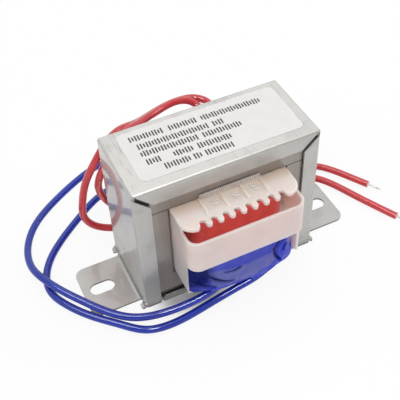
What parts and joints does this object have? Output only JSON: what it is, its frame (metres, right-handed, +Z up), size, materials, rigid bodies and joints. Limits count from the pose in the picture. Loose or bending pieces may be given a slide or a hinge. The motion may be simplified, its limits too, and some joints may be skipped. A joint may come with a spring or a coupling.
{
  "type": "mains transformer",
  "caption": "Laminated-core mains transformer in a folded steel frame with slotted feet, a two-chamber bobbin with a comb-edged flange, taped windings and loose leads.",
  "frame": {"origin": "on the standing surface, under the middle of the core", "axes": "+X along the line of the two feet, -Y towards the front with the lower winding's leads, +Z up"},
  "size_m": [0.1208, 0.0794, 0.0494],
  "materials": {
    "zinc_steel": "satin zinc-coated sheet with faint smears",
    "plate_steel": "satin zinc-coated sheet",
    "core_steel": "dull grey-brown silicon steel edges and faces",
    "nylon": "satin warm white moulded nylon",
    "copper": "enamelled copper wire",
    "red_tape": "semi-gloss film tape",
    "blue_tape": "glossy film tape, slightly wrinkled",
    "paper": "white paper, bare",
    "red_pvc": "semi-gloss PVC insulation",
    "blue_pvc": "semi-gloss PVC insulation",
    "tinned_copper": "tinned strands"
  },
  "bodies": {
    "root": {"frame": "zinc_steel", "bottom_plate": "plate_steel", "e_laminations": "core_steel", "i_laminations": "core_steel", "bobbin": "nylon", "front_cover": "nylon", "rear_cover": "nylon", "primary_winding": "copper", "primary_tape": "red_tape", "secondary_winding": "copper", "secondary_tape": "blue_tape", "label": "paper", "red_lead_1": "red_pvc", "red_lead_2": "red_pvc", "blue_lead_1": "blue_pvc", "blue_lead_2": "blue_pvc", "red_lead_1_end": "tinned_copper", "red_lead_2_end": "tinned_copper", "blue_lead_1_end": "tinned_copper", "blue_lead_2_end": "tinned_copper"}
  },
  "joints": []
}
